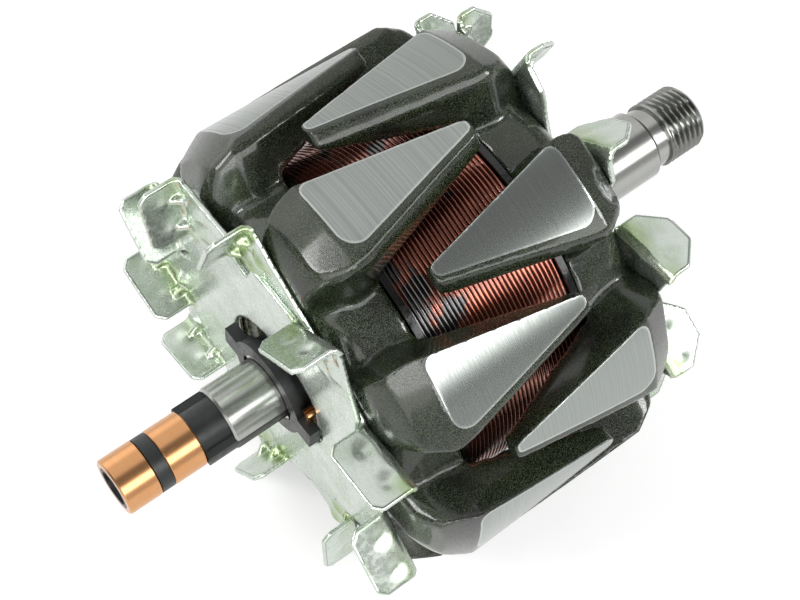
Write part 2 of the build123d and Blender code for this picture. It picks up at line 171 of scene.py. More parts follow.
class Tree:
    """Short calls for building a node tree."""

    def __init__(self, tree):
        self.tree = tree

    def add(self, kind, **values):
        node = self.tree.nodes.new(kind)
        for key, value in values.items():
            setattr(node, key, value)
        return node

    def link(self, a, b):
        self.tree.links.new(a, b)

    def put(self, socket, value):
        """Link a socket or set a plain value."""
        if isinstance(value, bpy.types.NodeSocket):
            self.link(value, socket)
        else:
            socket.default_value = value

    def fill(self, node, **values):
        """Set a node's inputs by name, with an underscore for each space."""
        for name, value in values.items():
            self.put(node.inputs[name.replace("_", " ")], value)

    def made(self, kind, **values):
        """A new node with its inputs set, as its first output."""
        node = self.add(kind)
        self.fill(node, **values)
        return node.outputs[0]

    def place(self):
        """Object coordinates."""
        return self.add("ShaderNodeTexCoord").outputs["Object"]

    def kept(self, name):
        """A value that the mesh keeps for each point."""
        return self.add("ShaderNodeAttribute", attribute_name=name).outputs["Fac"]

    def math(self, operation, a, b=0.0):
        node = self.add("ShaderNodeMath", operation=operation)
        self.put(node.inputs[0], a)
        self.put(node.inputs[1], b)
        return node.outputs[0]

    def mix(self, factor, a, b):
        node = self.add("ShaderNodeMix", data_type="RGBA")
        self.put(node.inputs[0], factor)
        for socket, value in ((node.inputs[6], a), (node.inputs[7], b)):
            self.put(socket, value if isinstance(value, bpy.types.NodeSocket) else (*value, 1.0))
        return node.outputs[2]

    def blend(self, factor, a, b):
        node = self.add("ShaderNodeMix", data_type="FLOAT")
        self.put(node.inputs[0], factor)
        self.put(node.inputs[2], a)
        self.put(node.inputs[3], b)
        return node.outputs[0]

    def spread(self, value, low, high, out_low=0.0, out_high=1.0):
        node = self.add("ShaderNodeMapRange", interpolation_type="SMOOTHSTEP")
        for socket, number in zip(node.inputs, (value, low, high, out_low, out_high)):
            self.put(socket, number)
        return node.outputs[0]

    def split(self, vector):
        node = self.add("ShaderNodeSeparateXYZ")
        self.link(vector, node.inputs[0])
        return node.outputs

    def noise(self, vector, scale, detail=2.0, roughness=0.5):
        node = self.add("ShaderNodeTexNoise")
        self.fill(node, Vector=vector, Scale=scale, Detail=detail, Roughness=roughness)
        return node.outputs["Fac"]


def new_group(name, inputs, outputs, kind="ShaderNodeTree"):
    """A node group with its sockets, its input node and its output node."""
    group = bpy.data.node_groups.new(name, kind)
    for socket_name, socket_kind, *value in inputs:
        socket = group.interface.new_socket(socket_name, in_out="INPUT", socket_type=socket_kind)
        if value:
            socket.default_value = value[0]
    for socket_name, socket_kind in outputs:
        group.interface.new_socket(socket_name, in_out="OUTPUT", socket_type=socket_kind)
    tree = Tree(group)
    return group, tree, tree.add("NodeGroupInput"), tree.add("NodeGroupOutput")


def lathe_marks_group():
    """Fine lines round the shaft, as a cutting tool or a grinding wheel leaves them."""
    group, tree, given, result = new_group(
        "Lathe marks",
        [("Lines per metre", "NodeSocketFloat", 2400.0), ("Run", "NodeSocketFloat", 1.6)],
        [("Mask", "NodeSocketFloat")],
    )
    x, y, z = tree.split(tree.place())
    angle = tree.math("ARCTAN2", z, y)
    lines = tree.math("MULTIPLY", x, given.outputs[0])
    run = tree.math("MULTIPLY", angle, given.outputs[1])
    drawn = tree.made("ShaderNodeCombineXYZ", X=lines, Y=run)
    tree.link(tree.noise(drawn, 1.0, 3.0, 0.7), result.inputs[0])
    return group


def speckle_group():
    """Small pale grains under a dark varnish, and a slower change of tone."""
    group, tree, given, result = new_group(
        "Speckle",
        [("Grains per metre", "NodeSocketFloat", 2600.0), ("Share", "NodeSocketFloat", 0.62)],
        [("Grains", "NodeSocketFloat"), ("Tone", "NodeSocketFloat")],
    )
    place = tree.place()
    scaled = tree.add("ShaderNodeVectorMath", operation="SCALE")
    tree.link(place, scaled.inputs[0])
    tree.link(given.outputs[0], scaled.inputs["Scale"])
    grains = tree.noise(scaled.outputs[0], 1.0, 2.0, 0.6)
    share = given.outputs[1]
    tree.link(tree.spread(grains, share, tree.math("ADD", share, 0.1)), result.inputs[0])
    tree.link(tree.noise(place, 110.0, 3.0), result.inputs[1])
    return group


GROUPS = {}


def shared(name):
    """A shared effect's group, built once."""
    if name not in GROUPS:
        GROUPS[name] = {"Lathe marks": lathe_marks_group, "Speckle": speckle_group}[name]()
    return GROUPS[name]


def use(tree, name, *values):
    node = tree.add("ShaderNodeGroup")
    node.node_tree = shared(name)
    for socket, value in zip(node.inputs, values):
        tree.put(socket, value)
    return node.outputs


def new_material(name):
    material = bpy.data.materials.new(name)
    material.use_nodes = True
    material.node_tree.nodes.clear()
    tree = Tree(material.node_tree)
    shader = tree.add("ShaderNodeBsdfPrincipled")
    output = tree.add("ShaderNodeOutputMaterial")
    tree.link(shader.outputs[0], output.inputs[0])
    return material, tree, shader


def bump(tree, shader, height, strength, distance):
    normal = tree.made("ShaderNodeBump", Strength=strength, Distance=distance, Height=height)
    tree.fill(shader, Normal=normal)


def pole_material(settings):
    """Dark speckled varnish over cast iron, bare where the claws were turned to size, with a painted
    highlight along the turned faces' edges.
    """
    material, tree, shader = new_material("Varnished pole with turned faces")
    excess, inset, drilled = [tree.kept(name) for name in ("excess", "inset", "drilled")]
    place = tree.place()
    ragged = tree.math("MULTIPLY", tree.math("SUBTRACT", tree.noise(place, 900.0, 3.0), 0.5), RAGGED_EDGE)
    turned = tree.spread(tree.math("ADD", excess, ragged), 0.0, 0.1)
    bare = tree.math("MAXIMUM", turned, drilled)
    lines = use(tree, "Lathe marks", *CLAW_LINES)[0]
    grains, tone = use(tree, "Speckle", *VARNISH_GRAINS)
    varnish = tree.mix(tree.math("MULTIPLY", grains, 0.7), tuple(settings.varnish), VARNISH_GRAIN)
    varnish = tree.mix(tree.spread(tone, 0.45, 0.75), varnish, VARNISH_SHADE)
    steel_low = darker(settings.machined, 0.74)
    steel = tree.mix(tree.spread(lines, 0.25, 0.75), steel_low, tuple(settings.machined))
    # Painted highlight: a thin bright line just inside the outline of each turned face
    edge = tree.spread(inset, 0.2, 0.7, 0.4, 0.0)
    steel = tree.mix(edge, steel, TURNED_EDGE_HIGHLIGHT)
    crumbs = tree.math("MULTIPLY", tree.spread(tree.noise(place, 700.0, 2.0), 0.36, 0.64), drilled)
    steel = tree.mix(tree.math("MULTIPLY", crumbs, 0.7), steel, DRILLED_SHADE)
    steel_rough = tree.spread(lines, 0.2, 0.8, 0.25, 0.16)
    varnish_rough = tree.spread(grains, 0.0, 1.0, 0.2, 0.4)
    cast = tree.math("ADD", tree.math("MULTIPLY", grains, 0.5), tone)
    height = tree.blend(bare, cast, tree.math("MULTIPLY", lines, 0.18))
    height = tree.math("ADD", height, tree.math("MULTIPLY", crumbs, 0.7))
    tree.fill(
        shader, Base_Color=tree.mix(bare, varnish, steel), Metallic=tree.math("MULTIPLY", bare, 0.92),
        Roughness=tree.blend(bare, varnish_rough, steel_rough), Specular_IOR_Level=0.4,
        Coat_Weight=tree.math("SUBTRACT", 0.5, tree.math("MULTIPLY", bare, 0.5)), Coat_Roughness=0.08,
    )
    bump(tree, shader, height, strength=0.4, distance=0.00026)
    return material


def steel_material(name, colour, marks):
    """Ground or turned steel with fine lines round the shaft."""
    material, tree, shader = new_material(name)
    lines = use(tree, "Lathe marks", *marks)[0]
    tone = tree.mix(tree.spread(lines, 0.3, 0.7), darker(colour, 0.9), colour)
    rough = tree.spread(lines, 0.2, 0.8, STEEL_ROUGHNESS + 0.06, STEEL_ROUGHNESS - 0.03)
    tree.fill(shader, Base_Color=tone, Metallic=1.0, Roughness=rough)
    bump(tree, shader, lines, strength=0.06, distance=0.00003)
    return material


def plated_material(settings):
    """Zinc-plated sheet, pale and a little green, darker in its bends, with a painted shade line along each
    blade's rounded rim.
    """
    material, tree, shader = new_material("Plated fan sheet")
    place = tree.place()
    cloud = tree.noise(place, 60.0, 0.0)
    fine = tree.noise(place, 900.0, 2.0)
    fold, rim = tree.kept("fold"), tree.kept("rim")
    green = tree.math("MULTIPLY", fold, tree.spread(cloud, 0.35, 0.65, 0.05, 0.75))
    stain = tree.spread(tree.noise(place, 150.0, 3.0), 0.4, 0.65, 0.0, 0.35)
    plating = tree.mix(stain, tuple(settings.plating), PLATING_STAIN)
    colour = tree.mix(green, plating, tuple(settings.tint))
    # Painted shade: a dark line where each blade's rim rounds over
    rim_shade = tree.math("MULTIPLY", tree.spread(rim, 0.3, 0.42), tree.spread(rim, 0.5, 0.62, 1.0, 0.0))
    colour = tree.mix(tree.math("MULTIPLY", rim_shade, 0.6), colour, BLADE_RIM_SHADE)
    tree.fill(shader, Base_Color=colour, Metallic=0.75, Roughness=tree.spread(fine, 0.3, 0.7, 0.2, 0.3))
    bump(tree, shader, cloud, strength=0.3, distance=0.0012)
    return material


def copper_ring_material(settings):
    """A copper ring worn satin by its brushes, with fine lines round it."""
    material, tree, shader = new_material("Worn copper ring")
    lines = use(tree, "Lathe marks", *RING_LINES)[0]
    colour = tree.mix(tree.spread(lines, 0.3, 0.7), RING_SHADE, tuple(settings.copper))
    tree.fill(shader, Base_Color=colour, Metallic=1.0, Roughness=tree.spread(lines, 0.2, 0.8, 0.27, 0.2))
    bump(tree, shader, lines, strength=0.05, distance=0.00003)
    return material


def wire_material(settings):
    """Enamelled copper wire under pools of dark varnish."""
    material, tree, shader = new_material("Enamelled wire")
    place = tree.place()
    x = tree.split(place)[0]
    from_middle = tree.math("ABSOLUTE", tree.math("SUBTRACT", x, MIDDLE_X * MM))
    at_edge = tree.spread(from_middle, 0.012, 0.0158, 0.0, 0.13)
    pools = tree.spread(tree.math("ADD", tree.noise(place, 70.0, 4.0), at_edge), 0.6, 0.66)
    streak = tree.noise(place, 380.0, 2.0)
    copper = tree.mix(streak, tuple(settings.colour), WIRE_SHADE)
    tree.fill(
        shader, Base_Color=tree.mix(pools, copper, WIRE_RESIN),
        Metallic=tree.math("SUBTRACT", 0.9, tree.math("MULTIPLY", pools, 0.8)),
        Roughness=tree.spread(streak, 0.3, 0.7, 0.14, 0.26), Coat_Weight=0.9, Coat_Roughness=0.1,
    )
    return material


def plain_material(name, colour, rough, grain, depth):
    """A moulded or woven finish with a slight grain."""
    material, tree, shader = new_material(name)
    fine = tree.noise(tree.place(), grain, 3.0)
    tree.fill(
        shader, Base_Color=tree.mix(fine, tuple(colour), darker(colour, 0.7)),
        Roughness=tree.spread(fine, 0.3, 0.7, rough - 0.06, rough + 0.08),
    )
    bump(tree, shader, fine, strength=0.3, distance=depth)
    return material


# Meshes

WELD = 1e-7
CAD_WELD = 2e-6
FAN_SOFT_PASSES = 4
CASTING_SOFT_PASSES = 7
TINY = 1e-6
SHAFT_SHARP_ANGLE = math.radians(25)
CORE_SHARP_ANGLE = math.radians(40)
THREAD_SHARP_ANGLE = math.radians(50)


def mesh_piece(name, vertices, faces, material):
    """A piece from points in millimetres, counted from the middle plane between the poles."""
    points = (np.asarray(vertices, dtype=float) + MIDDLE) * MM
    mesh = bpy.data.meshes.new(name)
    mesh.from_pydata(points.tolist(), [], faces)
    mesh.materials.append(material)
    shade_smooth(mesh)
    return link_mesh(name, mesh)


def shade_smooth(mesh):
    mesh.polygons.foreach_set("use_smooth", [True] * len(mesh.polygons))


def repaint(mesh, material):
    """Leave a mesh with this one material."""
    mesh.materials.clear()
    mesh.materials.append(material)


def read_points(mesh):
    """A mesh's points in millimetres."""
    points = np.empty(len(mesh.vertices) * 3)
    mesh.vertices.foreach_get("co", points)
    return points.reshape(-1, 3) / MM


def write_points(mesh, points):
    mesh.vertices.foreach_set("co", (points * MM).ravel())


def write_values(mesh, **named_values):
    """Keep a value for each point, for the mesh's material to read."""
    for name, values in named_values.items():
        attribute = mesh.attributes.new(name, "FLOAT", "POINT")
        attribute.data.foreach_set("value", values.astype(np.float32))


def link_mesh(name, mesh):
    mesh.validate()
    mesh.update()
    piece = bpy.data.objects.new(name, mesh)
    bpy.context.scene.collection.objects.link(piece)
    return piece


def finish_piece(piece, slot, *nodes):
    """Give a finished piece to the rotor's one body."""
    if nodes:
        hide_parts(*nodes)
    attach(piece, "root")


def outward(piece, angle=None):
    """Turn a closed piece's faces outwards, with edges sharper than the angle kept sharp."""
    shape = bmesh.new()
    shape.from_mesh(piece.data)
    bmesh.ops.remove_doubles(shape, verts=shape.verts, dist=WELD)
    bmesh.ops.recalc_face_normals(shape, faces=shape.faces)
    if angle is not None:
        for edge in shape.edges:
            sharp = len(edge.link_faces) == 2 and edge.calc_face_angle(0.0) > angle
            edge.smooth = not sharp
    shape.to_mesh(piece.data)
    shape.free()
    piece.data.update()


def evaluated_mesh(piece):
    """The plain mesh that a piece's modifiers give."""
    bpy.context.view_layer.update()
    graph = bpy.context.evaluated_depsgraph_get()
    mesh = bpy.data.meshes.new_from_object(piece.evaluated_get(graph))
    piece.modifiers.clear()
    return mesh


def voxelled(piece, cell, passes):
    """The plain mesh of a piece cut into even cells and softened."""
    cells = piece.modifiers.new("Cells", "REMESH")
    cells.mode = "VOXEL"
    cells.voxel_size = cell
    soft = piece.modifiers.new("Soft", "SMOOTH")
    soft.factor = 0.5
    soft.iterations = passes
    return evaluated_mesh(piece)


def pressed_copy(node_name, material, cell, form):
    """A finer copy of a fan plate, rounded as pressing leaves it, standing for that solid."""
    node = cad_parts[node_name]
    mesh = node.data.copy()
    mesh.transform(node.matrix_world)
    shape = bmesh.new()
    shape.from_mesh(mesh)
    bmesh.ops.remove_doubles(shape, verts=shape.verts, dist=CAD_WELD)
    shape.to_mesh(mesh)
    shape.free()
    piece = link_mesh("pressed_" + node_name, mesh)
    fine = voxelled(piece, cell, FAN_SOFT_PASSES)
    points = read_points(fine) - MIDDLE
    fold, rim = press_blades(points, *form)
    write_points(fine, points + MIDDLE)
    write_values(fine, fold=fold, rim=rim)
    repaint(fine, material)
    shade_smooth(fine)
    fine.update()
    piece.data = fine
    return piece


def even_angles(steps):
    """The angles of even steps round the shaft."""
    return [2 * math.pi * k / steps for k in range(steps)]


def round_section(x, radius, angle):
    """The radius of a plain round section, the same at every angle."""
    return radius


def at_angle(x, radius, angle):
    return (x, radius * math.cos(angle), radius * math.sin(angle))


def band(start, end, count):
    """Faces between two closed rows of points, from the number of each row's first point."""
    faces = []
    for k in range(count):
        m = (k + 1) % count
        faces.append((start + k, start + m, end + m, end + k))
    return faces


def turned_shape(profile, angles, radius_at=round_section):
    """Points and faces of a closed outline of (x, radius) pairs turned about the shaft."""
    count = len(profile)
    points = []
    faces = []
    for i, angle in enumerate(angles):
        points += [at_angle(x, radius_at(x, radius, angle), angle) for x, radius in profile]
        following = (i + 1) % len(angles)
        faces += band(i * count, following * count, count)
    return points, faces


# Claw poles

# Each station: x, top, half width on the plain side, half width on the chamfered side
CLAW_STATIONS = (
    (-33.5, 44.2, 7.0, 7.4), (-32.6, 46.6, 7.6, 8.2), (-31.2, 49.3, 8.3, 9.0), (-29.6, 51.3, 8.9, 10.0),
    (-27.6, 53.0, 9.4, 11.0), (-25.6, 55.0, 9.7, 12.0), (-23.7, 55.8, 9.6, 12.6), (-20.0, 55.8, 8.7, 12.1),
    (-10.0, 55.8, 6.6, 9.7), (0.0, 55.8, 4.5, 7.2), (9.0, 55.8, 2.6, 5.0), (12.8, 55.8, 1.8, 4.0),
)
CLAW_TIP_X = 12.8
CLAW_HIDDEN_INNER = 28.0
CLAW_ROOT_INNER = 41.5
CLAW_TIP_INNER = 50.0
CLAW_FLANK_TAPER = 0.94
CHAMFER_WIDTH = 3.4
CHAMFER_DROP = 3.0
SHOULDER_CHAMFER_SHARE = 0.6
MACHINED_BASE_X = 23.7
BEVEL_SLOPE = math.tan(math.radians(28.0))
SHOULDER_START_X = 28.9
DISC_INNER_X = 18.0
ROOT_STEP = 0.01
FACE_TIP_X = 12.4
FACE_TIP_CORNER = 1.0
FACE_PLAIN_CORNER = 3.0
FACE_CHAMFER_CORNER = 5.0
# The disc between the claws with its rounded valleys, and half of the core
DISC_PROFILE = (
    (-33.5, 0.0), (-33.5, 35.5), (-32.6, 37.6), (-30.8, 39.6), (-28.0, 41.0),
    (-21.0, 41.6), (-18.0, 41.4), (-18.0, 26.0), (0.0, 26.0), (0.0, 0.0),
)
DISC_STEPS = 96


def claw_inner_radius(x):
    """The inside of a claw: thin at its tip, thick at its root, inside the disc beyond it."""
    if x < -DISC_INNER_X:
        return CLAW_HIDDEN_INNER
    thinning = CLAW_TIP_INNER - CLAW_ROOT_INNER
    return CLAW_ROOT_INNER + (x + DISC_INNER_X) * thinning / (CLAW_TIP_X + DISC_INNER_X)


def claw_shape():
    """One oversize cast claw as stacked cross-sections, pointing up at the top of the rotor."""
    stations = []
    for x, top, half_plus, half_minus in CLAW_STATIONS:
        if stations and stations[-1][0] < -DISC_INNER_X < x:
            for step_x in (-DISC_INNER_X - ROOT_STEP, -DISC_INNER_X + ROOT_STEP):
                last_x, *last = stations[-1]
                share = (step_x - last_x) / (x - last_x)
                between = [p + (q - p) * share for p, q in zip(last, (top, half_plus, half_minus))]
                stations.append((step_x, *between))
        stations.append((x, top, half_plus, half_minus))
    points = []
    for x, top, half_plus, half_minus in stations:
        inner = claw_inner_radius(x)
        drop = CHAMFER_DROP * (SHOULDER_CHAMFER_SHARE if x < -SHOULDER_START_X else 1.0)
        turned_off = max(top - CLAW_RADIUS, 0.0)
        points += [
            (x, half_plus, top),
            (x, -half_minus + CHAMFER_WIDTH, top),
            (x, -half_minus, top - drop - turned_off),
            (x, -half_minus * CLAW_FLANK_TAPER, inner),
            (x, half_plus * CLAW_FLANK_TAPER, inner),
        ]
    corners = 5
    last_start = corners * (len(stations) - 1)
    faces = [tuple(reversed(range(corners))), tuple(range(last_start, last_start + corners))]
    for start in range(0, last_start, corners):
        faces += band(start, start + corners, corners)
    return points, faces


def ring_tree():
    """A Geometry Nodes tree that sets copies of a piece round the shaft."""
    group, t, given, result = new_group(
        "Copies round the shaft",
        [
            ("Geometry", "NodeSocketGeometry"), ("Count", "NodeSocketInt"),
            ("First angle", "NodeSocketFloat"), ("Material", "NodeSocketMaterial"),
        ],
        [("Geometry", "NodeSocketGeometry")],
        "GeometryNodeTree",
    )
    points = t.made("GeometryNodePoints", Count=given.outputs["Count"])
    copies = t.made("GeometryNodeInstanceOnPoints", Points=points, Instance=given.outputs["Geometry"])
    step = t.math("DIVIDE", 2 * math.pi, given.outputs["Count"])
    turn = t.math("MULTIPLY", t.add("GeometryNodeInputIndex").outputs[0], step)
    turn = t.math("ADD", turn, given.outputs["First angle"])
    turned = t.made("ShaderNodeCombineXYZ", X=turn)
    ring = t.made("GeometryNodeRotateInstances", Instances=copies, Rotation=turned, Local_Space=False)
    close_tree(t, ring, given.outputs["Material"], result)
    return group


def close_tree(t, geometry, material, result):
    """End a tree with plain geometry and its material."""
    plain = t.made("GeometryNodeRealizeInstances", Geometry=geometry)
    t.link(t.made("GeometryNodeSetMaterial", Geometry=plain, Material=material), result.inputs[0])


def run_tree(piece, tree, **values):
    """Apply a tree to a piece with its named inputs and return the plain mesh."""
    modifier = piece.modifiers.new("Tree", "NODES")
    modifier.node_group = tree
    for item in tree.interface.items_tree:
        if item.in_out == "INPUT" and item.name in values:
            modifier[item.identifier] = values[item.name]
    return evaluated_mesh(piece)


def turned_envelope(x):
    """The radius that the lathe left on the pole, at a distance from the middle plane."""
    past_base = np.abs(x) - MACHINED_BASE_X
    return np.where(past_base > 0.0, CLAW_RADIUS - past_base * BEVEL_SLOPE, CLAW_RADIUS)


def claw_pole(name, settings, material, drive):
    """One casting: claws and disc run together, smoothed, then turned to size; the drive one is mirrored."""
    to_middle = Matrix.Translation((-MIDDLE_X * MM, 0, 0))
    claw = mesh_piece("Claw", *claw_shape(), material)
    claw.data.transform(to_middle)
    turned_on = math.pi / CLAW_COUNT if drive else 0.0
    first = settings.first_angle - math.pi / 2 + turned_on
    mesh = run_tree(claw, ring_tree(), **{"Count": CLAW_COUNT, "First angle": first, "Material": material})
    disc = mesh_piece("Disc", *turned_shape(DISC_PROFILE, even_angles(DISC_STEPS)), material)
    disc.data.transform(to_middle)
    shape = bmesh.new()
    shape.from_mesh(mesh)
    shape.from_mesh(disc.data)
    bmesh.ops.remove_doubles(shape, verts=shape.verts, dist=WELD)
    bmesh.ops.recalc_face_normals(shape, faces=shape.faces)
    shape.to_mesh(mesh)
    shape.free()
    bpy.data.objects.remove(claw)
    bpy.data.objects.remove(disc)
    pole = link_mesh(name, mesh)
    cast = voxelled(pole, settings.voxel, CASTING_SOFT_PASSES)
    turn_to_size(cast, drive, settings.first_angle + turned_on)
    pole.data = cast
    repaint(cast, material)
    return pole


def rounded_corner(inset_a, inset_b, radius):
    """How far inside two edges a point lies where their corner is rounded."""
    in_corner = (inset_a < radius) & (inset_b < radius)
    return np.where(
        in_corner, radius - np.hypot(radius - inset_a, radius - inset_b), np.minimum(inset_a, inset_b)
    )


def turned_face_inset(points, first_claw):
    """How far inside the outline of its claw's turned face each point lies, negative outside."""
    angle = np.arctan2(points[:, 2], points[:, 1]) - first_claw
    pitch = 2 * math.pi / CLAW_COUNT
    angle -= np.round(angle / pitch) * pitch
    across = -CLAW_RADIUS * np.sin(angle)
    stations = np.array(CLAW_STATIONS)
    plus = np.interp(points[:, 0], stations[:, 0], stations[:, 2]) - across
    minus = np.interp(points[:, 0], stations[:, 0], stations[:, 3]) - CHAMFER_WIDTH + across
    base = points[:, 0] + MACHINED_BASE_X
    tip = FACE_TIP_X - points[:, 0]
    at_plain = rounded_corner(base, plus, FACE_PLAIN_CORNER)
    at_chamfer = rounded_corner(base, minus, FACE_CHAMFER_CORNER)
    at_tip = rounded_corner(tip, np.minimum(plus, minus), FACE_TIP_CORNER)
    return np.minimum(np.minimum(at_plain, at_chamfer), at_tip)


def turn_to_size(mesh, drive, first_claw):
    """Bring a casting to its turned radius and note where metal came off."""
    points = read_points(mesh)
    radius = np.hypot(points[:, 1], points[:, 2])
    envelope = turned_envelope(points[:, 0])
    excess = radius - envelope
    scale = np.where(excess > 0, envelope / np.maximum(radius, TINY), 1.0)
    points[:, 1:] *= scale[:, None]
    inset = turned_face_inset(points, first_claw)
    excess = np.minimum(excess, inset)
    drilled = np.zeros(len(points))
    if drive:
        points[:, 0] *= -1
        drilled = drill_balance_hole(points)
    points[:, 0] += MIDDLE_X
    write_points(mesh, points)
    write_values(mesh, excess=excess, inset=inset, drilled=drilled)
    if drive:
        mesh.flip_normals()
    shade_smooth(mesh)
    mesh.update()


BALANCE_HOLE_PLACE = (30.8, 49.0)
BALANCE_HOLE_ANGLE = math.radians(120.0)
BALANCE_HOLE_LEAN = math.radians(40.0)
BALANCE_HOLE_RADIUS = 4.4
BALANCE_HOLE_DEPTH = 1.5
BALANCE_HOLE_REACH = 5.0
BALANCE_HOLE_MIDDLE = 1.2
BALANCE_HOLE_RISE = 0.5


def drill_balance_hole(points):
    """Sink the shallow hole that balances the rotor into the drive pole's shoulder."""
    x, radius = BALANCE_HOLE_PLACE
    cos_a, sin_a = math.cos(BALANCE_HOLE_ANGLE), math.sin(BALANCE_HOLE_ANGLE)
    centre = np.array([x, radius * cos_a, radius * sin_a])
    lean = math.sin(BALANCE_HOLE_LEAN)
    axis = np.array([math.cos(BALANCE_HOLE_LEAN), lean * cos_a, lean * sin_a])
    away = points - centre
    along = away @ axis
    beside = np.linalg.norm(away - along[:, None] * axis, axis=1)
    inside = (beside < BALANCE_HOLE_RADIUS) & (np.abs(along) < BALANCE_HOLE_REACH)
    dish = BALANCE_HOLE_MIDDLE - BALANCE_HOLE_RISE * beside / BALANCE_HOLE_RADIUS
    floor = -BALANCE_HOLE_DEPTH * dish
    sink = np.where(inside, np.minimum(floor - along, 0.0), 0.0)
    points += sink[:, None] * axis
    return np.where(inside, 1.0, 0.0)


class MakePoles(bpy.types.Operator):
    """Build the two cast claw poles"""

    bl_idname = "rotor.make_poles"
    bl_label = "Claw poles"

    def execute(self, context):
        settings = context.scene.rotor_poles
        material = pole_material(settings)
        for node, drive in (("rear_claw_pole", False), ("drive_claw_pole", True)):
            pole = claw_pole("cast_" + node, settings, material, drive)
            finish_piece(pole, "varnished_iron", node)
        return {"FINISHED"}


# Coil

COIL_STEPS = 128
WIRE_SIDES = 8
WIRE_SPACING = 1.03
COIL_CORE_PROFILE = ((-16.3, 28.0), (-16.3, 39.55), (16.3, 39.55), (16.3, 28.0))


def coil_tree():
    """A Geometry Nodes tree that lays turns of wire side by side round the shaft."""
    group, t, given, result = new_group(
        "Turns of wire",
        [
            ("Turns", "NodeSocketInt"), ("Wire", "NodeSocketFloat"), ("Radius", "NodeSocketFloat"),
            ("Middle", "NodeSocketFloat"), ("Material", "NodeSocketMaterial"),
        ],
        [("Geometry", "NodeSocketGeometry")],
        "GeometryNodeTree",
    )
    wire_radius = t.math("MULTIPLY", given.outputs["Wire"], 0.5)
    loop_radius = t.math("SUBTRACT", given.outputs["Radius"], wire_radius)
    loop = t.made("GeometryNodeCurvePrimitiveCircle", Resolution=COIL_STEPS, Radius=loop_radius)
    section = t.made("GeometryNodeCurvePrimitiveCircle", Resolution=WIRE_SIDES, Radius=wire_radius)
    wire = t.made("GeometryNodeCurveToMesh", Curve=loop, Profile_Curve=section)
    step = t.math("MULTIPLY", given.outputs["Wire"], WIRE_SPACING)
    centre = t.math("MULTIPLY", t.math("SUBTRACT", given.outputs["Turns"], 1.0), 0.5)
    index = t.add("GeometryNodeInputIndex").outputs[0]
    along = t.math("MULTIPLY", t.math("SUBTRACT", index, centre), step)
    place = t.made("ShaderNodeCombineXYZ", X=t.math("ADD", along, given.outputs["Middle"]))
    points = t.made("GeometryNodePoints", Count=given.outputs["Turns"], Position=place)
    upright = (0.0, math.pi / 2, 0.0)
    copies = t.made("GeometryNodeInstanceOnPoints", Points=points, Instance=wire, Rotation=upright)
    close_tree(t, copies, given.outputs["Material"], result)
    return group


class MakeCoil(bpy.types.Operator):
    """Build the field winding's turns of wire"""

    bl_idname = "rotor.make_coil"
    bl_label = "Field winding"

    def execute(self, context):
        settings = context.scene.rotor_coil
        material = wire_material(settings)
        turns = bpy.data.objects.new("coil_turns", bpy.data.meshes.new("coil_turns"))
        context.scene.collection.objects.link(turns)
        turns.data = run_tree(turns, coil_tree(), **{
            "Turns": settings.turns, "Wire": settings.wire, "Radius": settings.radius,
            "Middle": MIDDLE_X * MM, "Material": material,
        })
        shade_smooth(turns.data)
        outward(turns)
        core_shape = turned_shape(COIL_CORE_PROFILE, even_angles(COIL_STEPS))
        core = mesh_piece("coil_body", *core_shape, material)
        outward(core, CORE_SHARP_ANGLE)
        finish_piece(turns, "copper", "field_winding")
        finish_piece(core, "copper", "field_winding")
        return {"FINISHED"}


# Shaft

THREAD_START_X = 71.3
THREAD_END_X = 82.1
THREAD_RADIUS = 8.0
THREAD_STEPS = 72
THREAD_ROWS_PER_TURN = 8
THREAD_FADE = 1.0
THREAD_CHAMFER = 1.2
GROOVE_HALF_WIDTH = 0.42
CENTRE_HOLE_RADIUS = 2.2
CENTRE_HOLE_DEPTH = 5.0
SHAFT_STEPS = 96
REAR_SEAT_RADIUS = 7.5
SLOT_ANGLES = (math.radians(6.0), math.radians(186.0))
SLOT_START_X = -51.4
SLOT_END_X = -37.0
SLOT_FLOOR = 5.05
SLOT_HALF_WIDTH = 1.85
SLOT_EDGE_ANGLE = math.asin(SLOT_HALF_WIDTH / REAR_SEAT_RADIUS)
SLOT_EDGE_STEP = 0.0005
SLOT_EDGE_CLEARANCE = 0.01
SHAFT_PROFILE = (
    (-75.5, 0.0), (-75.5, 4.0), (SLOT_START_X, 4.0), (SLOT_START_X, 7.0),
    (-50.9, REAR_SEAT_RADIUS), (-38.5, REAR_SEAT_RADIUS), (-38.5, 8.1),
    (SLOT_END_X, 8.1), (SLOT_END_X + 0.01, 8.1), (-33.5, 8.1), (-33.5, 8.9),
    (52.9, 8.9), (53.0, 8.8), (53.0, 8.5), (66.8, 8.5), (67.2, 8.2),
    (67.9, 7.4), (70.6, 7.3), (71.4, 7.35), (71.4, 0.0),
)


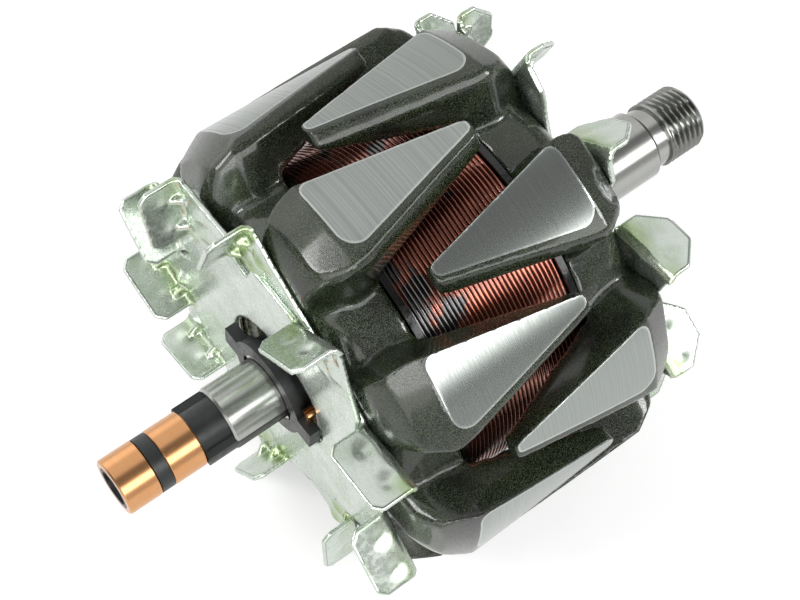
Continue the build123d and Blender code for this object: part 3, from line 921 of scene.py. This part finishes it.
def thread_shape(pitch, depth):
    """The threaded end: a grid whose radius follows the thread, fading in at its inner end."""
    length = THREAD_END_X - THREAD_START_X
    rows = int(length / pitch * THREAD_ROWS_PER_TURN)
    angles = even_angles(THREAD_STEPS)
    points = []
    for i in range(rows + 1):
        x = THREAD_START_X + length * i / rows
        fade = min(1.0, (x - THREAD_START_X) / THREAD_FADE)
        chamfer = min(THREAD_RADIUS, THREAD_RADIUS - THREAD_CHAMFER + (THREAD_END_X - x))
        for k, angle in enumerate(angles):
            phase = (x / pitch - k / THREAD_STEPS) % 1.0
            groove = max(0.0, 1.0 - abs(phase - 0.5) / GROOVE_HALF_WIDTH)
            points.append(at_angle(x, min(THREAD_RADIUS - depth * fade * groove, chamfer), angle))
    last = rows * THREAD_STEPS
    faces = []
    for start in range(0, last, THREAD_STEPS):
        faces += band(start, start + THREAD_STEPS, THREAD_STEPS)
    faces.append(tuple(reversed(range(THREAD_STEPS))))
    hole = len(points)
    for x in (THREAD_END_X, THREAD_END_X - CENTRE_HOLE_DEPTH):
        points += [at_angle(x, CENTRE_HOLE_RADIUS, angle) for angle in angles]
    bottom = hole + THREAD_STEPS
    faces += band(last, hole, THREAD_STEPS) + band(hole, bottom, THREAD_STEPS)
    faces.append(tuple(range(bottom, bottom + THREAD_STEPS)))
    return points, faces


def shaft_angles():
    """Even steps round the shaft, with a close pair at each edge of the two slots."""
    angles = even_angles(SHAFT_STEPS)
    for middle in SLOT_ANGLES:
        angles = [a for a in angles if abs(abs(a - middle) - SLOT_EDGE_ANGLE) > SLOT_EDGE_CLEARANCE]
        for side in (-1, 1):
            for step in (-SLOT_EDGE_STEP, SLOT_EDGE_STEP):
                angles.append(middle + side * (SLOT_EDGE_ANGLE + step))
    return sorted(angle % (2 * math.pi) for angle in angles)


def slotted_radius(x, radius, angle):
    """The shaft's radius, cut down to the flat floor inside the two slots for the lead bars."""
    if not SLOT_START_X <= x <= SLOT_END_X or radius < SLOT_FLOOR:
        return radius
    for middle in SLOT_ANGLES:
        away = abs((angle - middle + math.pi) % (2 * math.pi) - math.pi)
        if away < SLOT_EDGE_ANGLE:
            return min(radius, SLOT_FLOOR / math.cos(away))
    return radius


class MakeShaft(bpy.types.Operator):
    """Build the shaft with its ground seats and its threaded end"""

    bl_idname = "rotor.make_shaft"
    bl_label = "Shaft"

    def execute(self, context):
        settings = context.scene.rotor_shaft
        ground = steel_material("Ground steel", tuple(settings.steel), SEAT_LINES)
        thread = steel_material("Threaded steel", darker(settings.steel, 0.6), THREAD_LINES)
        body_shape = turned_shape(SHAFT_PROFILE, shaft_angles(), slotted_radius)
        body = mesh_piece("shaft_body", *body_shape, ground)
        outward(body, SHAFT_SHARP_ANGLE)
        end = mesh_piece("shaft_thread", *thread_shape(settings.pitch / MM, settings.depth / MM), thread)
        outward(end, THREAD_SHARP_ANGLE)
        finish_piece(body, "ground_steel", "shaft")
        finish_piece(end, "ground_steel", "shaft")
        return {"FINISHED"}


# Fans

BLADE_MIDDLE_RADIUS = 44.0
BLADE_SWEEP = math.radians(36.0)
REAR_INNER_BLADES = (-41.8, 17.2, 76.2, 149.2, 234.2)
REAR_OUTER_BLADES = (-13.8, 45.2, 111.2, 191.2, 276.2)
DRIVE_BLADES = (1.0, 26.0, 50.0, 77.0, 108.0, 142.0, 178.0, 205.0, 236.0, 268.0, 300.0, 331.0)
BLADE_HALF_LENGTH = 8.5
BLADE_HEIGHT = 10.5
BLADE_REACH = 10.0
LEAF_DEPTH = (-1.5, 4.0)
LEAF_FOOT = 1.0
PLATE_DEPTH = (2.0, 14.0)
PLATE_HEIGHT = (-0.6, 1.8)
PLATE_PULL = 0.2
LEAF_PULL = 0.35
FLAT_INSET = 0.6
FLAT_START = 2.7
RIM_START = 3.0
RIM_WIDTH = 1.1
BEND_HEIGHT = 2.0
BEND_SPREAD = 5.0
FOOT_DIMPLES = ((-3.9, 4.4), (4.1, 4.4))
DIMPLE_RADIUS = 1.9
DIMPLE_TINT = 0.8
PLATE_BOSSES = ((-3.0, 6.2, 3.4), (3.2, 7.4, 3.0))
BOSS_WIDTH = 1.6
# Each plate: its node, blade angles, face that it lies on, way the blades point, cut of a blade's corners,
# depth of the dimples and rise of the bosses
FAN_PLATES = (
    ("rear_fan_inner_plate", REAR_INNER_BLADES, -POLE_FACE_X, -1, 1.9, 0.5, 1.3),
    ("rear_fan_outer_plate", REAR_OUTER_BLADES, -POLE_FACE_X - SHEET, -1, 1.9, 0.5, 1.3),
    ("drive_fan", DRIVE_BLADES, POLE_FACE_X, 1, 5.0, 0.35, 0.5),
)


def within(values, limits):
    low, high = limits
    return (values > low) & (values < high)


def push(points, direction, distance):
    """Move points across the shaft."""
    points[:, 1] += distance * direction[0]
    points[:, 2] += distance * direction[1]


def inside_blade(u, height, corner):
    """How far inside its blade's outline each point lies."""
    side = BLADE_HALF_LENGTH - np.abs(u)
    top = BLADE_HEIGHT - height
    return np.minimum(np.minimum(side, top), (side + top - corner) / math.sqrt(2))


def press_blades(points, angles, base_x, direction, corner, dimple_depth, boss_depth):
    """Flatten the sheet, press its dimples and bosses; returns how near a bend and a rim each point is."""
    fold = np.zeros(len(points))
    rim = np.zeros(len(points))
    height = direction * (points[:, 0] - base_x)
    for face in (0.0, SHEET):
        points[:, 0] += np.where(np.abs(height - face) < PLATE_PULL, direction * (face - height), 0.0)
    for degrees in angles:
        angle = math.radians(degrees)
        along = (math.cos(angle + BLADE_SWEEP), math.sin(angle + BLADE_SWEEP))
        inward = (-along[1], along[0])
        y = points[:, 1] - BLADE_MIDDLE_RADIUS * math.cos(angle)
        z = points[:, 2] - BLADE_MIDDLE_RADIUS * math.sin(angle)
        u = y * along[0] + z * along[1]
        v = y * inward[0] + z * inward[1]
        beside = np.abs(u) < BLADE_REACH
        near = beside & within(v, LEAF_DEPTH)
        leaf = near & (height > LEAF_FOOT)
        inside = inside_blade(u, height, corner)
        at_rim = np.clip(1.0 - inside / RIM_WIDTH, 0.0, 1.0)
        rim = np.maximum(rim, np.where(leaf & (height > RIM_START), at_rim, 0.0))
        flat = leaf & (inside > FLAT_INSET) & (height > FLAT_START)
        for face in (0.0, SHEET):
            push(points, inward, np.where(flat & (np.abs(v - face) < LEAF_PULL), face - v, 0.0))
        plate = beside & within(v, PLATE_DEPTH) & within(height, PLATE_HEIGHT)
        fold += np.where(near, np.exp(-((height - BEND_HEIGHT) ** 2) / BEND_SPREAD), 0.0)
        shift = np.zeros(len(points))
        for place, rise in FOOT_DIMPLES:
            away = (u - place) ** 2 + (height - rise) ** 2
            shift += np.where(leaf, dimple_depth * np.exp(-away / DIMPLE_RADIUS ** 2), 0.0)
        push(points, inward, shift)
        lift = np.zeros(len(points))
        for place, depth, length in PLATE_BOSSES:
            away = ((u - place) / BOSS_WIDTH) ** 2 + ((v - depth) / length) ** 2
            lift += np.where(plate, boss_depth * np.exp(-away), 0.0)
        points[:, 0] += direction * lift
        fold += lift + DIMPLE_TINT * np.abs(shift)
    return np.clip(fold, 0.0, 1.0), rim


class MakeFans(bpy.types.Operator):
    """Dress the pressed fan plates"""

    bl_idname = "rotor.make_fans"
    bl_label = "Fans"

    def execute(self, context):
        settings = context.scene.rotor_fans
        material = plated_material(settings)
        for node, *form in FAN_PLATES:
            piece = pressed_copy(node, material, settings.cell, form)
            finish_piece(piece, "plated_steel", node)
        return {"FINISHED"}


# Slip rings, mouldings and leads


class MakeTrim(bpy.types.Operator):
    """Dress the slip rings, mouldings, collar, terminals, leads and sleeves"""

    bl_idname = "rotor.make_trim"
    bl_label = "Slip rings and leads"

    def execute(self, context):
        settings = context.scene.rotor_trim
        copper = copper_ring_material(settings)
        plastic = plain_material("Black moulding", settings.plastic, rough=0.4, grain=700.0, depth=0.00008)
        resin = plain_material("Resin on the bobbin", BOBBIN_RESIN, rough=0.2, grain=300.0, depth=0.0009)
        sleeve = plain_material("Woven sleeve", settings.sleeve, rough=0.7, grain=1600.0, depth=0.0002)
        finishes = {
            "outer_slip_ring": copper, "inner_slip_ring": copper, "slip_ring_moulding": plastic,
            "collar": plastic, "bobbin": resin,
        }
        for side in ("front", "back"):
            finishes[side + "_lead_bar"] = plastic
            finishes[side + "_terminal"] = copper
            finishes[side + "_lead"] = copper
            finishes[side + "_lead_sleeve"] = sleeve
        for node, material in finishes.items():
            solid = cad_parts[node]
            if not solid.material_slots:
                solid.data.materials.append(material)
            for place in solid.material_slots:
                place.material = material
        return {"FINISHED"}


# Stage

CAMERA_PLACE = (-0.1756, -0.1553, 0.3183)
CAMERA_AIM = (0.32062, 0.41531, -0.85130)
# Each lamp: its name, place from the rotor's middle, size in metres and power in watts
LAMPS = (
    ("left_softbox", (-0.45, 0.10, 0.45), 0.20, 1.6),
    ("right_softbox", (0.45, -0.30, 0.30), 0.15, 1.2),
    ("low_softbox", (-0.15, -0.55, 0.20), 0.14, 0.5),
)
# Each wall: the way to its middle, the cosines from there where it begins and is full, and its power
SOFT_WALLS = (
    ((-0.8, -0.5, 0.4), 0.88, 0.92, 2.2),
    ((-0.35, 0.85, 0.35), 0.80, 0.88, 0.9),
)
# Each strip: its angle round the shaft, half width, soft edge and power
SOFT_STRIPS = (
    (145.0, 11.5, 2.5, 4.4),
    (68.0, 16.0, 14.0, 0.8),
    (15.0, 22.0, 14.0, 0.7),
    (178.0, 6.0, 6.0, 0.4),
)
STUDIO_GLOOM = 0.27
PLAIN_LIGHT = 0.42
FLOOR_FADE = (0.22, 0.7)
FLOOR_HALF_SIDE = 3.0
FLOOR_GAP = 0.0002


def backdrop_material(colour):
    """A white floor that takes a shadow near the rotor and is plain white farther off."""
    material, tree, shader = new_material("White floor")
    length = tree.add("ShaderNodeVectorMath", operation="LENGTH")
    tree.link(tree.place(), length.inputs[0])
    far = tree.spread(length.outputs["Value"], *FLOOR_FADE)
    path = tree.add("ShaderNodeLightPath")
    seen = tree.math("MAXIMUM", path.outputs["Is Camera Ray"], path.outputs["Is Glossy Ray"])
    seen = tree.math("MAXIMUM", seen, path.outputs["Is Transmission Ray"])
    tree.fill(
        shader, Base_Color=tree.mix(far, darker(colour, 0.8), (0.0, 0.0, 0.0)), Roughness=0.9,
        Specular_IOR_Level=0.0, Emission_Color=(*colour, 1.0),
        Emission_Strength=tree.math("MULTIPLY", seen, tree.blend(far, 0.5, 1.0)),
    )
    return material


def world_light():
    """A world that is white where it is seen and plain as light, with soft walls and strips for gloss."""
    world = bpy.data.worlds.new("Studio")
    world.use_nodes = True
    bpy.context.scene.world = world
    world.node_tree.nodes.clear()
    tree = Tree(world.node_tree)
    path = tree.add("ShaderNodeLightPath")
    seen = tree.math("MAXIMUM", path.outputs["Is Camera Ray"], path.outputs["Is Transmission Ray"])
    direction = tree.add("ShaderNodeTexCoord").outputs["Generated"]
    x, y, z = tree.split(direction)
    round_shaft = tree.math("ARCTAN2", z, y)
    beside = tree.spread(tree.math("ABSOLUTE", x), 0.6, 0.85, 1.0, 0.0)
    studio = STUDIO_GLOOM
    for angle, half_width, edge, power in SOFT_STRIPS:
        away = tree.math("ABSOLUTE", tree.math("SUBTRACT", round_shaft, math.radians(angle)))
        inner, outer = math.radians(half_width), math.radians(half_width + edge)
        strip = tree.spread(away, inner, outer, power, 0.0)
        studio = tree.math("ADD", tree.math("MULTIPLY", strip, beside), studio)
    for aim, start, end, power in SOFT_WALLS:
        dot = tree.add("ShaderNodeVectorMath", operation="DOT_PRODUCT")
        tree.link(direction, dot.inputs[0])
        dot.inputs[1].default_value = Vector(aim).normalized()
        studio = tree.math("ADD", tree.spread(dot.outputs["Value"], start, end, 0.0, power), studio)
    light = tree.blend(path.outputs["Is Glossy Ray"], PLAIN_LIGHT, studio)
    strength = tree.blend(seen, light, 1.0)
    background = tree.made("ShaderNodeBackground", Color=(1.0, 1.0, 1.0, 1.0), Strength=strength)
    tree.link(background, tree.add("ShaderNodeOutputWorld").inputs[0])


class MakeStage(bpy.types.Operator):
    """Set up the floor, the soft lamps and the camera"""

    bl_idname = "rotor.make_stage"
    bl_label = "Stage"

    def execute(self, context):
        settings = context.scene.rotor_stage
        side = FLOOR_HALF_SIDE
        mesh = bpy.data.meshes.new("Floor")
        corners = [(-side, -side), (side, -side), (side, side), (-side, side)]
        floor_z = settings.floor_z - FLOOR_GAP
        mesh.from_pydata([(x, y, floor_z) for x, y in corners], [], [(0, 1, 2, 3)])
        mesh.materials.append(backdrop_material(tuple(settings.white)))
        floor = link_mesh("Floor", mesh)
        world_light()
        middle = Vector((MIDDLE_X * MM, 0, 0))
        for name, place, size, power in LAMPS:
            light = bpy.data.lights.new(name, "AREA")
            light.shape = "SQUARE"
            light.size = size
            light.energy = power
            lamp = bpy.data.objects.new(name, light)
            lamp.location = Vector(place) + middle
            lamp.rotation_euler = (-Vector(place)).to_track_quat("-Z", "Y").to_euler()
            context.scene.collection.objects.link(lamp)
        camera_data = bpy.data.cameras.new("Camera")
        camera_data.lens = settings.lens
        camera_data.sensor_width = 36.0
        camera_data.clip_start = 0.01
        camera = bpy.data.objects.new("Camera", camera_data)
        camera.location = CAMERA_PLACE
        camera.rotation_euler = Vector(CAMERA_AIM).to_track_quat("-Z", "Y").to_euler()
        context.scene.collection.objects.link(camera)
        context.scene.camera = camera
        context.scene.view_settings.view_transform = "Standard"
        return {"FINISHED"}


OPERATORS = (MakePoles, MakeCoil, MakeShaft, MakeFans, MakeTrim, MakeStage)


class RotorPanel(bpy.types.Panel):
    """Shows a button for each of the rotor's steps with its settings"""

    bl_idname = "VIEW3D_PT_rotor"
    bl_label = "Rotor"
    bl_space_type = "VIEW_3D"
    bl_region_type = "UI"
    bl_category = "Rotor"

    def draw(self, context):
        for operator, settings_name in zip(OPERATORS, SETTINGS):
            box = self.layout.box()
            box.operator(operator.bl_idname)
            settings = getattr(context.scene, settings_name)
            for name in SETTINGS[settings_name].__annotations__:
                box.prop(settings, name)


def register():
    for settings_name, settings_class in SETTINGS.items():
        bpy.utils.register_class(settings_class)
        setattr(bpy.types.Scene, settings_name, bpy.props.PointerProperty(type=settings_class))
    for cls in (*OPERATORS, RotorPanel):
        bpy.utils.register_class(cls)


def unregister():
    for cls in reversed((*OPERATORS, RotorPanel)):
        bpy.utils.unregister_class(cls)
    for settings_name, settings_class in SETTINGS.items():
        delattr(bpy.types.Scene, settings_name)
        bpy.utils.unregister_class(settings_class)


def main():
    register()
    for operator in OPERATORS:
        group, name = operator.bl_idname.split(".")
        getattr(getattr(bpy.ops, group), name)()


if __name__ == "__main__":
    main()
